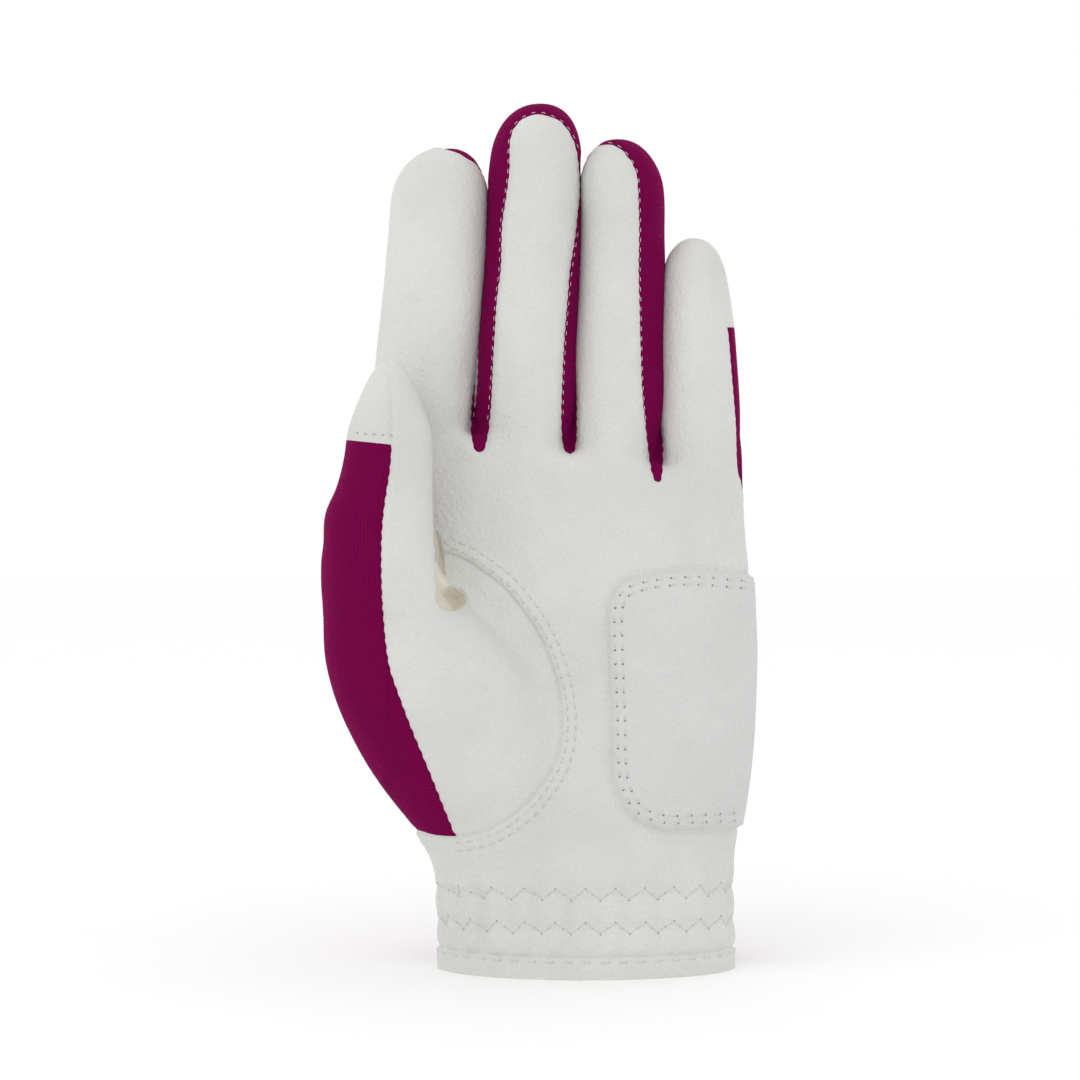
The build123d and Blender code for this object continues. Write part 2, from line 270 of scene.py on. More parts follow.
def cut_all(verts, tris, lines):
    """Cut along several lines in turn; returns each triangle's side of each."""
    sides = np.zeros((len(tris), 0), bool)
    for line in lines:
        verts, tris, source, side = slice_mesh(verts, tris, line(verts))
        sides = np.concatenate([sides[source], side[:, None]], 1)
    return verts, tris, sides


# ---- outlines
def polyline_distance(p, points, closed=False):
    """Signed distance to a line of points: negative on its left (inside if closed)."""
    pts = np.array(points, float)
    if closed:
        pts = np.vstack([pts, pts[:1]])
    best = np.full(len(p), 1e9)
    for a, b in zip(pts[:-1], pts[1:]):
        ab = b - a
        t = np.clip(((p - a) @ ab) / (ab @ ab), 0, 1)
        best = np.minimum(best, np.linalg.norm(p - a - t[:, None] * ab, axis=1))
    if not closed:
        return best
    inside = np.zeros(len(p), bool)
    for a, b in zip(pts[:-1], pts[1:]):
        hit = (a[1] > p[:, 1]) != (b[1] > p[:, 1])
        x = a[0] + (p[:, 1] - a[1]) * (b[0] - a[0]) / (b[1] - a[1] if b[1] != a[1] else 1)
        inside ^= hit & (p[:, 0] < x)
    return np.where(inside, -best, best)


def smooth_line(points, closed=False, step=0.8):
    """Catmull-Rom line through points, evenly stepped."""
    pts = np.array(points, float)
    ext = (np.vstack([pts[-1:], pts, pts[:2]]) if closed
           else np.vstack([2 * pts[0] - pts[1], pts, 2 * pts[-1] - pts[-2]]))
    out = []
    for i in range(1, len(ext) - 2):
        a, b, c, d = ext[i - 1:i + 3]
        for t in np.linspace(0, 1, max(3, int(np.linalg.norm(c - b) / step * 2)), endpoint=False):
            out.append(0.5 * (2 * b + (c - a) * t + (2 * a - 5 * b + 4 * c - d) * t * t
                              + (3 * b - a - 3 * c + d) * t ** 3))
    if not closed:
        out.append(pts[-1])
    return evenly(np.array(out), step)


def evenly(line, step):
    length = np.concatenate([[0], np.cumsum(np.linalg.norm(np.diff(line, axis=0), axis=1))])
    count = max(2, int(round(length[-1] / step)) + 1)
    want = np.linspace(0, length[-1], count)
    return np.stack([np.interp(want, length, line[:, k]) for k in range(line.shape[1])], 1)


def along(t, table):
    """Straight-line value down a table of (place, value) pairs."""
    return np.interp(t, *zip(*table))


def flat(points):
    """Outline points measured from the glove's middle, moved to the origin."""
    return [(x - 10.5, z) for x, z in points]


# White leather seen from the palm side: up each finger and round each crotch.
WHITE = flat([
    (-90, -30), (-90, 215), (-30, 215), (-27, 205), (-24.6, 195.5), (-22.7, 191), (-19.5, 189.5),
    (-16.6, 188), (-14.2, 186.1), (-12.6, 182), (-12.7, 172), (-13, 162.4), (-13.7, 156.3), (-14.3, 146.9),
    (-14.9, 134.4), (-15.6, 126), (-15.5, 121.8), (-15, 120.1), (-14, 119.5), (-13, 119.9), (-12.4, 121.5),
    (-11.9, 126), (-11.4, 131.3), (-11, 137.5), (-10.5, 146.9), (-10, 154.9), (-9.1, 162.4), (-8.8, 172.3),
    (-7.9, 178.6), (-7.1, 184.9), (-6.8, 192.7), (-4.6, 196.6), (-0.3, 198.4), (4.7, 196.7), (7.2, 194),
    (8.8, 190.5), (9.5, 186.1), (9.7, 179.9), (9.1, 173.7), (8.5, 168.7), (7.5, 162.4), (6.9, 156.3),
    (6.3, 150), (5.7, 140.7), (5.4, 131.3), (5.5, 124), (5.8, 120.9), (6.5, 119.3), (7.5, 119.1),
    (8.3, 120.3), (8.6, 124), (8.5, 131.3), (8.6, 150), (9.1, 162.4), (9.7, 168.7), (10.1, 181.2),
    (10.3, 187.5), (12.6, 190.6), (17.2, 191.2), (20.2, 188.9), (22.5, 185.2), (23.1, 181.2), (23.4, 171.9),
    (23.3, 162.4), (23.5, 153.1), (23.7, 143.7), (24, 134.4), (24.6, 127), (25.6, 118.5), (26.6, 113.6),
    (27.7, 112.4), (28.6, 113.9), (28.8, 122), (28.6, 131.3), (28.7, 150), (28.9, 156.2), (29.5, 161.2),
    (30.4, 166), (31.5, 175), (60, 175), (60, -30)])
# How far back the leather reaches: across the index finger by X, beside the palm by
# height, and down the little finger's outer side by height; LITTLE_CAP is all leather
INDEX_EDGE = [(-42, 5.0), (-29, 1.0)]
PALM_EDGE = [(24, 4.0), (34, -1.5), (88, -1.5), (104, 5.0)]
LITTLE_EDGE = [(100, 1.2), (107, 1.0), (111, -1.6), (118, -3.6), (130, -4.8), (148, -5.4)]
LITTLE_CAP = 148.3
# Where the leather has ended on a finger's far side, seen: by height for the middle finger
RING_EDGE = 16.5
MIDDLE_EDGE = [(119.5, 30), (121.5, -3.4), (131, -3.4), (150, -3.0), (162.4, -2.2), (168.7, -1.4),
               (175, -0.8), (190, -0.6)]
# Knit on the outer side of the thumb
THUMB_KNIT = flat([
    (-40, 142), (-35.5, 139), (-34.4, 135), (-34.3, 127), (-34.3, 121.2), (-34.7, 115.3), (-35.8, 108.4),
    (-36.5, 101.4), (-36.7, 94.4), (-36.5, 85.1), (-35.8, 75.8), (-34.7, 68.8), (-32.3, 61.9),
    (-28.8, 52.6), (-25.3, 44.4), (-23, 38.6), (-20, 31), (-18.5, 26.5), (-22, 24), (-90, 24), (-90, 142)])
# Where the thumb is set into the palm
THUMB_SET = flat([
    (-23.4, 99), (-22.4, 96.6), (-20.2, 95.6), (-17, 94.4), (-13.1, 91.7), (-8.4, 88.1), (-4.5, 83.5),
    (-0.6, 77.9), (2.6, 70.9), (4.6, 63.8), (5.3, 57.5), (5, 52), (3.4, 46.5), (-0.6, 40.2), (-5.3, 35.5),
    (-11.6, 31.6), (-16.3, 30.3), (-19.8, 30), (-24.6, 30.4), (-29.3, 31.6), (-36, 32.4), (-90, 34),
    (-90, 150), (-23.4, 150)])
HEEL = flat([
    (15.7, 81), (15.9, 72), (16.5, 57), (16.6, 48), (17.4, 41.5), (20.6, 35.2), (25, 32.5), (30.6, 31.4),
    (46.5, 32.1), (80, 33), (80, 91), (49.5, 91.2), (35.1, 92.3), (23.4, 90.9), (18, 88.6), (16, 84.6)])
KEYHOLE = flat([
    (-24.2, 86.2), (-23.4, 83.9), (-21, 82.7), (-18.6, 82.9), (-17.2, 84.6), (-17.8, 86.6), (-19.6, 88),
    (-21.4, 88.9), (-21.8, 92.5), (-22.4, 97), (-23.6, 101), (-24.3, 101), (-24, 97), (-23.4, 92.5),
    (-23.5, 88.4)])
FOLD = flat([
    (-23.9, 86.5), (-23.5, 89), (-23.6, 92.5), (-24, 97), (-24.4, 106)])
WHITE, THUMB_KNIT, THUMB_SET_ALL, HEEL_ALL, KEYHOLE = [
    smooth_line(outline, closed=True, step=length).tolist()
    for outline, length in ((WHITE, 1.2), (THUMB_KNIT, 2.0), (THUMB_SET, 1.4), (HEEL, 1.4), (KEYHOLE, 0.5))]

# Where a finger's leather runs on out of sight beside its neighbour: from, to, shift, middle
FLUSH = {"index": (132, 180, -1.4, -36), "ring": (130, 182, 1.6, 8), "little": (120, 172, 1.6, 26)}
NO_FLUSH = (0, 1, 0, 0)
# Cap of the thumb: height and slope of its row as seen, and the X where its side begins
CAP_TOP, CAP_SLOPE, CAP_X = 121.3, 0.1, -44.7
# Wrist slit: half width and height of its round end; tab: middle X and Z, half sizes
SLIT_HALF, SLIT_TOP = 2.2, 40
TAB_X, TAB_Z, TAB_HALF_X, TAB_HALF_Z = 3.5, 21, 24, 12.5
FAR = 50.0


def step_up(t):
    t = np.clip(t, 0, 1)
    return t * t * (3 - 2 * t)


def bell(s, width):
    return np.exp(-(s / width) ** 2)


def scallop(z, size=0.1):
    return size * np.cos(2 * np.pi * z / SCALLOP)


# Each line below is a distance: negative inside its panel, zero on its seam.
def white_line(p, name=None):
    """Negative on white leather; a finger's name limits it to that finger's own."""
    x, y, z = p.T
    q = seen(p)
    low, high, shift, middle = FLUSH.get(name, NO_FLUSH)
    inner = (x - middle) * shift < 0
    q[:, 0] += shift * inner * step_up((z - low) / 14) * (1 - step_up((z - high) / 6))
    if name == "ring":
        q[:, 0] = np.minimum(q[:, 0], RING_EDGE)
    edge = polyline_distance(q, WHITE, closed=True) + scallop(z)
    if name == "middle":
        edge = np.maximum(edge, q[:, 0] - along(q[:, 1], MIDDLE_EDGE))
    outer = along(z, LITTLE_EDGE) + scallop(z)
    behind = np.where((x > 27) & (z > 104), outer, along(x, INDEX_EDGE))
    if name == "little":
        behind = np.where(z > LITTLE_CAP, 6.5, behind)
    beside_palm = np.where(x < 0, along(z, PALM_EDGE), np.minimum(outer, 1.2))
    return np.maximum(edge, y - np.where(z < 112, beside_palm, behind))


def thumb_seen(p):
    """Like `seen`, with the thumb's back carried round to its outer side."""
    x, y, z = p.T
    q = seen(p)
    outer = np.maximum(step_up((z - 97) / 3), step_up((-x - 40) / 4))
    q[:, 0] -= np.clip((y + 23) * 1.1, 0, 30) * step_up((z - 60) / 30) * outer
    return q


def knit_line(p):
    """Negative on the thumb's knit side, which takes in all of its back."""
    return polyline_distance(thumb_seen(p), THUMB_KNIT, closed=True) + scallop(p[:, 2], 0.12)


def thumb_line(p):
    """Negative on the thumb's own pieces."""
    outline = polyline_distance(seen(p), THUMB_SET_ALL, closed=True)
    beside = np.minimum(palm_field(p), digit_field(p, "index"))
    near = digit_field(p, "thumb") - beside - np.maximum(0, 98.5 - p[:, 2]) * 4
    return np.maximum(np.maximum(outline, p[:, 1] + 1.0), near)


def heel_line(p):
    return np.maximum(polyline_distance(seen(p), HEEL_ALL, closed=True), p[:, 1] + 0.4)


def keyhole_line(p):
    return np.maximum(polyline_distance(seen(p), KEYHOLE, closed=True), p[:, 1] + 6)


def slit_line(p):
    x, z = np.abs(p[:, 0]), p[:, 2]
    d = np.where(z < SLIT_TOP, x, np.sqrt(x * x + np.maximum(z - SLIT_TOP, 0) ** 2)) - SLIT_HALF
    return np.where(p[:, 1] > 0, d, FAR)


def tab_line(p):
    d = np.maximum(np.abs(p[:, 0] - TAB_X) - TAB_HALF_X, np.abs(p[:, 2] - TAB_Z) - TAB_HALF_Z)
    return np.where(p[:, 1] > 0, d, FAR)


rng = np.random.default_rng(11)
WAVES = [(rng.normal(size=3) / (3.2 + 9 * rng.random()), rng.random() * 6.3) for _ in range(26)]
# Zigzag: length of one leg round the wrist, and each row's lowest and highest point
LEG = 3.35
ROWS = ((10.2, 12.8), (17.8, 20.4))
PLEATS = [(2 * np.pi / period, phase) for period, phase in ((6.7, 0.4), (4.1, 2.2), (9.7, 4.0), (13.7, 1.0))]

# Angles round the wrist, and the length of the way to them from the middle of its palm side
WRIST_X, WRIST_Y = 34.4, 18.6
TURN = np.linspace(-math.pi, math.pi, 721)
RING = np.stack([WRIST_X * np.sin(TURN), -WRIST_Y * np.cos(TURN)], 1)
ARC = np.concatenate([[0], np.cumsum(np.linalg.norm(np.diff(RING, axis=0), axis=1))])
ARC = ARC - ARC[len(ARC) // 2]


def around(p):
    """Distance round the wrist from the middle of its palm side."""
    return np.interp(np.arctan2(p[:, 0] / WRIST_X, -p[:, 1] / WRIST_Y), TURN, ARC)


def edge_relief(p, name, on_thumb):
    """Grooves and rolls where leather meets knit."""
    white, knit_edge = white_line(p, name), knit_line(p)
    on_finger = p[:, 2] > 108
    groove = 0.28 * bell(white, 0.55) * np.where(on_finger, 1, 0.5)
    finger = 0.16 * bell(white + 1.5, 0.9) * on_finger - groove
    thumb = 0.15 * bell(knit_edge - 1.3, 0.8) - 0.36 * bell(knit_edge, 0.5)
    return np.where(on_thumb, thumb, finger)


def thumb_relief(p, thumb):
    """The palm's folded edge stands over the thumb piece, drawn down along two rows."""
    z = p[:, 2]
    fade = step_up((-p[:, 1] - 1) / 4) * np.where(z > 86, 1 - step_up((z - 94) / 6), 1)
    folded = 0.5 * step_up(thumb / 0.5) * (1 - step_up((thumb - 0.6) / 5.2))
    rows = 0.16 * (bell(thumb - 1.3, 0.3) + bell(thumb - 3.2, 0.3))
    return fade * (folded - 0.3 * bell(thumb, 0.55) - rows)


def heel_relief(p):
    """The heel patch is a second layer, drawn down along its own two rows."""
    heel = heel_line(p)
    layer = 1.15 * step_up(-heel / 1.3) + 0.12 * bell(heel + 2.6, 1.1)
    rows = 0.2 * (bell(heel + 1.75, 0.35) + bell(heel + 3.5, 0.35)) * (p[:, 1] < -1)
    return np.where(heel < 0, layer, 0) - 0.3 * bell(heel - 0.2, 0.5) - rows


def keyhole_relief(p):
    """The keyhole under the thumb sinks in behind a low rim, at the end of a crease."""
    z = p[:, 2]
    key, fold = keyhole_line(p), polyline_distance(seen(p), FOLD)
    low = 1 - step_up((z - 87.5) / 3)
    sunk = (0.7 + 1.7 * low) * step_up((0.1 - key) / 0.75)
    rim = low * 0.6 * bell(key - 0.6, 0.4)
    crease = 0.8 * bell(fold, 0.5) * (1 - step_up((z - 94) / 3))
    return (rim - sunk - crease) * (p[:, 1] < -8)


def wrist_relief(p, out):
    """Adds the elastic's gathers, the bound hem and slit, and the flat place under the tab."""
    z, a = p[:, 2], around(p)
    strength = 0.55 + 0.45 * step_up((-a + 6) / 30) + 0.3 * (p[:, 1] > 2)
    pleat = sum(np.cos(k * a + phase + 0.5 * np.sin(0.3 * z)) for k, phase in PLEATS) / 4.5
    pleat += 2.0 * np.sqrt(np.cos(np.pi * a / (2 * LEG)) ** 2 + 0.04) - 1.3
    belt = step_up((z - 4.6) / 2.4) * (1 - step_up((z - 19) / 9))
    out = out + (0.5 * pleat * strength + 0.3) * belt
    for low, high in ROWS:
        out -= 0.5 * bell(z - (low + high) / 2, 1.8)
    hem = step_up((4.9 - z) / 0.9)
    out = out * (1 - hem) + hem * (0.55 + 0.05 * np.cos(a * 1.57)) - 0.3 * bell(z - 5.1, 0.45)
    slit = slit_line(p)
    out += 0.55 * (1 - step_up((slit - 2.6) / 0.7)) * (slit < 6)
    free = step_up((tab_line(p) + 1) / 2.0)
    return out * free + np.minimum(out, 0.1) * (1 - free)


def relief(p, name=None):
    """How far the surface stands out from the plain form."""
    thumb = thumb_line(p)
    out = sum(np.sin(p @ k + phase) for k, phase in WAVES) * 0.028
    out = out + edge_relief(p, name, thumb < 0) + thumb_relief(p, thumb) + heel_relief(p) + keyhole_relief(p)
    return wrist_relief(p, out)


# ---- materials
def linear(r, g, b):
    return tuple(((c / 255 + 0.055) / 1.055) ** 2.4 for c in (r, g, b)) + (1.0,)


def material(name, build):
    mat = bpy.data.materials.new(name)
    mat.use_nodes = True
    build(mat.node_tree, mat.node_tree.nodes["Principled BSDF"])
    return mat


def feed(tree, socket, value):
    """Links an output to a socket, or sets the socket's constant."""
    if isinstance(value, bpy.types.NodeSocket):
        tree.links.new(value, socket)
    else:
        socket.default_value = value


def fill(tree, target, **inputs):
    for key, value in inputs.items():
        feed(tree, target.inputs[key.replace("_", " ")], value)


def node(tree, kind, **inputs):
    made = tree.nodes.new(kind)
    fill(tree, made, **inputs)
    return made


def maths(tree, operation, *values):
    made = tree.nodes.new("ShaderNodeMath")
    made.operation = operation
    for socket, value in zip(made.inputs, values):
        feed(tree, socket, value)
    return made.outputs[0]


def mix(tree, factor, a, b, blend="MIX"):
    made = tree.nodes.new("ShaderNodeMix")
    made.data_type = "RGBA"
    made.blend_type = blend
    for socket, value in zip((made.inputs["Factor"], made.inputs[6], made.inputs[7]), (factor, a, b)):
        feed(tree, socket, value)
    return made.outputs[2]


def leather(base, dirt):
    def build(tree, shader):
        place = node(tree, "ShaderNodeTexCoord").outputs["Object"]
        fine = node(tree, "ShaderNodeTexNoise", Vector=place, Scale=1500.0, Detail=3.0, Roughness=0.6)
        grain = node(tree, "ShaderNodeTexVoronoi", Vector=place, Scale=900.0)
        broad = node(tree, "ShaderNodeTexNoise", Vector=place, Scale=38.0, Detail=4.0, Roughness=0.55)
        tint = node(tree, "ShaderNodeValToRGB", Fac=broad.outputs["Fac"])
        for end, position, colour in zip(tint.color_ramp.elements, (0.3, 0.62), (dirt, base)):
            end.position, end.color = position, colour
        colour = mix(tree, 0.10, tint.outputs["Color"], fine.outputs["Fac"], "MULTIPLY")
        height = maths(tree, "MULTIPLY_ADD", grain.outputs["Distance"], 0.6, fine.outputs["Fac"])
        bump = node(tree, "ShaderNodeBump", Strength=0.6, Distance=0.0004, Height=height)
        fill(tree, shader, Base_Color=colour, Normal=bump.outputs["Normal"], Roughness=0.62,
             Specular_IOR_Level=0.32, Sheen_Weight=0.12, Sheen_Roughness=0.5)
    return build


def knit(base, light, pitch=0.7):
    def build(tree, shader):
        weave = node(tree, "ShaderNodeUVMap")
        weave.uv_map = "Weave"
        split = node(tree, "ShaderNodeSeparateXYZ", Vector=weave.outputs["UV"])

        def wave(axis, period):
            turn = maths(tree, "MULTIPLY", split.outputs[axis], 2 * math.pi / (period * MM))
            return maths(tree, "SINE", turn)

        loops = maths(tree, "MULTIPLY_ADD", wave("Y", pitch * 0.8), 0.35, wave("X", pitch))
        place = node(tree, "ShaderNodeTexCoord").outputs["Object"]
        fuzz = node(tree, "ShaderNodeTexNoise", Vector=place, Scale=2600.0, Detail=2.0)
        height = maths(tree, "MULTIPLY_ADD", fuzz.outputs["Fac"], 1.2, loops)
        # painted shade: the colour runs from base in the hollows between the loops to light on the loop
        # tops, following the bump's height; the magenta itself is the knit's own
        painted_loop_shade = node(tree, "ShaderNodeMapRange", From_Min=-0.8, From_Max=2.2, Value=height)
        bump = node(tree, "ShaderNodeBump", Strength=0.4, Distance=0.00016, Height=height)
        fill(tree, shader, Base_Color=mix(tree, painted_loop_shade.outputs["Result"], base, light),
             Normal=bump.outputs["Normal"], Roughness=0.8, Specular_IOR_Level=0.03, Sheen_Weight=0.3,
             Sheen_Roughness=0.3, Sheen_Tint=linear(235, 40, 150))
    return build


def fibre(base, dark, scale, rough=0.8):
    def build(tree, shader):
        place = node(tree, "ShaderNodeTexCoord").outputs["Object"]
        fuzz = node(tree, "ShaderNodeTexNoise", Vector=place, Scale=scale, Detail=3.0).outputs["Fac"]
        bump = node(tree, "ShaderNodeBump", Strength=0.7, Distance=0.0003, Height=fuzz)
        fill(tree, shader, Base_Color=mix(tree, fuzz, dark, base), Normal=bump.outputs["Normal"],
             Roughness=rough, Specular_IOR_Level=0.2)
    return build


WHITE_MAT = material("look_leather_white", leather(linear(218, 218, 215), linear(209, 209, 205)))
HEEL_MAT = material("look_leather_heel", leather(linear(214, 214, 213), linear(208, 208, 207)))
# the knit's second colour is its painted lit tone on the loop tops
KNIT_MAT = material("look_knit_magenta", knit(linear(100, 0, 56), linear(122, 2, 76)))
BEIGE_MAT = material("look_lining_beige", fibre(linear(226, 221, 206), linear(208, 201, 184), 1800))
ELASTIC_MAT = material("look_elastic_white", fibre(linear(228, 228, 224), linear(205, 205, 200), 2200))
LOOP_MAT = material("look_loop_magenta", fibre(linear(128, 14, 80), linear(86, 2, 50), 2400, 0.95))
HOOK_MAT = material("look_hook_white", fibre(linear(230, 230, 228), linear(190, 190, 188), 3000, 0.5))
THREAD_MAT = material("look_thread_white", fibre(linear(222, 220, 213), linear(212, 209, 200), 3500))
# needle holes: their dark colour is painted shade inside the holes; the darker one is for the heel rows and
# the wrist zigzags
HOLE_SHADE_MAT = material("look_needle_hole_shade", fibre(linear(190, 185, 176), linear(168, 162, 154), 3500))
DEEP_HOLE_SHADE_MAT = material("look_needle_hole_deep_shade", fibre(linear(140, 138, 142), linear(112, 110, 116), 3500))


def vertex_normals(verts, tris):
    corner = verts[tris]
    face = np.cross(corner[:, 1] - corner[:, 0], corner[:, 2] - corner[:, 0])
    normals = np.zeros_like(verts)
    for k in range(3):
        np.add.at(normals, tris[:, k], face)
    return normals / np.maximum(np.linalg.norm(normals, axis=1), 1e-9)[:, None]


def border(tris):
    """Directed edges that only one triangle uses."""
    ring = np.concatenate([tris[:, [0, 1]], tris[:, [1, 2]], tris[:, [2, 0]]])
    size = int(tris.max()) + 1
    code, back = ring[:, 0] * size + ring[:, 1], ring[:, 1] * size + ring[:, 0]
    return ring[~np.isin(code, back)]


def mesh_object(name, verts, tris, mat, uv=None, normals=None, thick=0.0):
    """An object of one material; with a thickness it is closed, with crisp edges."""
    used, inverse = np.unique(tris, return_inverse=True)
    tris = inverse.reshape(-1, 3)
    if normals is None and thick:
        normals = vertex_normals(verts[used], tris)
    elif thick:
        normals = normals[used]
    verts = verts[used]
    uv = None if uv is None else uv[used]
    sharp = np.zeros((0, 2), int)
    if thick:
        n = len(verts)
        edge = border(tris)
        a, b = edge[:, 0], edge[:, 1]
        sides = [np.stack([b, a, a + n], 1), np.stack([b, a + n, b + n], 1)]
        tris = np.concatenate([tris, tris[:, ::-1] + n] + sides)
        verts = np.concatenate([verts, verts - normals * thick])
        uv = None if uv is None else np.concatenate([uv, uv])
        sharp = np.sort(np.concatenate([edge, edge + n]), 1)
    mesh = bpy.data.meshes.new(name)
    mesh.vertices.add(len(verts))
    mesh.vertices.foreach_set("co", (verts * MM).astype(np.float32).ravel())
    mesh.loops.add(3 * len(tris))
    mesh.loops.foreach_set("vertex_index", tris.astype(np.int32).ravel())
    mesh.polygons.add(len(tris))
    mesh.polygons.foreach_set("loop_start", np.arange(0, 3 * len(tris), 3, dtype=np.int32))
    mesh.update(calc_edges=True)
    mesh.polygons.foreach_set("use_smooth", np.ones(len(tris), bool))
    if len(sharp):
        ends = np.empty(2 * len(mesh.edges), np.int32)
        mesh.edges.foreach_get("vertices", ends)
        ends = np.sort(ends.reshape(-1, 2).astype(np.int64), 1)
        size = len(verts)
        crisp = np.isin(ends[:, 0] * size + ends[:, 1], sharp[:, 0] * size + sharp[:, 1])
        mesh.attributes.new("sharp_edge", "BOOLEAN", "EDGE").data.foreach_set("value", crisp)
    if uv is not None:
        layer = mesh.uv_layers.new(name="Weave")
        layer.data.foreach_set("uv", (uv[tris.ravel()] * MM).astype(np.float32).ravel())
    mesh.materials.append(mat)
    obj = bpy.data.objects.new(name, mesh)
    bpy.context.scene.collection.objects.link(obj)
    return obj


def weave_coords(p, centre_x, centre_y, radius):
    u = np.arctan2(p[:, 0] - centre_x, p[:, 1] - centre_y) * radius
    return np.stack([u, p[:, 2]], 1)


def raised(field, verts, name=None):
    g, _ = gradient(field, verts)
    normal = g / np.linalg.norm(g, axis=1)[:, None]
    return verts + normal * relief(verts, name)[:, None]


# ---- hand pieces
def cut_height(p):
    """Positive above the line where a digit becomes its own piece."""
    d = np.stack([digit_field(p, name) for name in DIGITS], 1)
    cut = np.array([digit["cut"] for digit in DIGITS.values()])[d.argmin(1)]
    return np.where(d.min(1) < palm_field(p), p[:, 2] - cut, -3.0)


def shifted(line, distance):
    """The same line, moved outward by a distance."""
    return lambda p: line(p) - distance


verts, tris = net(hand_field, (-62, -40, -3), (43, 24, 137))
panel_lines = [lambda p: p[:, 2], cut_height, slit_line, white_line, knit_line, thumb_line, heel_line,
               lambda p: p[:, 2] - HEM_TOP, keyhole_line, shifted(slit_line, 3.0)]
# cuts that only let the surface turn sharply beside a seam
crisp_lines = [shifted(heel_line, -0.6), shifted(thumb_line, 0.3)]
crisp_lines += [shifted(keyhole_line, distance) for distance in (-0.6, -1.1, 0.3, 0.6, 1.0)]
verts, tris, side = cut_all(verts, tris, panel_lines + crisp_lines)
(above, own_piece, off_slit, off_white, off_knit,
 off_thumb, off_heel, above_hem, off_keyhole, off_binding) = side[:, :len(panel_lines)].T
keep = above & ~own_piece & off_slit
shaped = raised(hand_field, verts)
shaped_normals = vertex_normals(shaped, tris)
weave = weave_coords(verts, -5.0, 0.0, 22.0)
weave[:, 0] = np.where(verts[:, 1] > 0, verts[:, 0], weave[:, 0])
weave_ball = weave_coords(verts, -44.0, -20.0, 15.0)
inner = keep & above_hem & off_binding
panels = inner & off_heel & off_keyhole
regions = {
    "hem_binding": (keep & ~above_hem, WHITE_MAT, weave),
    "slit_binding": (keep & above_hem & ~off_binding, WHITE_MAT, weave),
    "heel_patch": (inner & ~off_heel, HEEL_MAT, weave),
    "thumb_gusset": (inner & off_heel & ~off_keyhole, BEIGE_MAT, weave),
    "thumb_back_lower": (panels & ~off_thumb & ~off_knit, KNIT_MAT, weave_ball),
    "thumb_base_panel": (panels & ~off_thumb & off_knit, WHITE_MAT, weave),
    "palm_panel": (panels & off_thumb & ~off_white, WHITE_MAT, weave),
    "back_panel": (panels & off_thumb & off_white, KNIT_MAT, weave),
}
for name, (chosen, mat, uv) in regions.items():
    obj = mesh_object(name + "_skin", shaped, tris[chosen], mat, uv, shaped_normals, SKIN)
    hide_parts(name)
    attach(obj, "hand")
surface = BVHTree.FromPolygons((shaped * MM).tolist(), tris[keep].tolist())

# ---- digit pieces
digit_surfaces = {}


def digit_pieces(name):
    """Points, normals and triangles of a digit; which are its own; their sides; the weave."""
    digit = DIGITS[name]
    rows = digit["rows"]
    x0, x1 = min(r[1] for r in rows) - 15, max(r[1] for r in rows) + 15
    y0, y1 = min(r[2] for r in rows) - 15, max(r[2] for r in rows) + 15
    field = lambda p: finger_field(p, name)
    verts, tris = net(field, (x0, y0, digit["cut"] - 3), (x1, y1, sum(digit["dome"]) + 2))
    lines = [lambda p: p[:, 2] - digit["cut"], lambda p: p[:, 2] - digit.get("part", digit["cut"]),
             lambda p: digit_field(p, name) - palm_field(p) - 0.35]
    if name == "thumb":
        lines += [knit_line, lambda p: seen(p)[:, 1] - (CAP_TOP - CAP_SLOPE * (seen(p)[:, 0] - CAP_X)),
                  lambda p: thumb_seen(p)[:, 0] - CAP_X]
    else:
        lines += [lambda p: white_line(p, name)]
    verts, tris, side = cut_all(verts, tris, lines)
    shaped = raised(field, verts, name)
    uv = weave_coords(verts, curve(verts[:, 2], rows, 1), curve(verts[:, 2], rows, 2), 11.0)
    uv[:, 0] += 200
    return shaped, vertex_normals(shaped, tris), tris, side[:, 0] & ~side[:, 2], side, uv


def bend(obj, name, stage):
    """Fixes a piece of a digit where it stands; only the index finger's lower pieces are tied to the hand.
    """
    digit = DIGITS[name]

    def turn(start_body, end_body, start, end):
        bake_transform(obj)

    if name == "thumb":
        turn("hand", "thumb", 99.1, 113)
    elif stage == "upper":
        reach = digit["fold"] - digit["part"] - 0.3
        parent = "hand" if name == "index" else name + "_root"
        turn(parent, digit["body"], digit["fold"] - reach, digit["fold"] + reach)
    elif name == "index":
        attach(obj, "hand")
    else:
        turn("hand", name + "_root", digit["cut"] + 0.1, digit["part"] - 0.5)


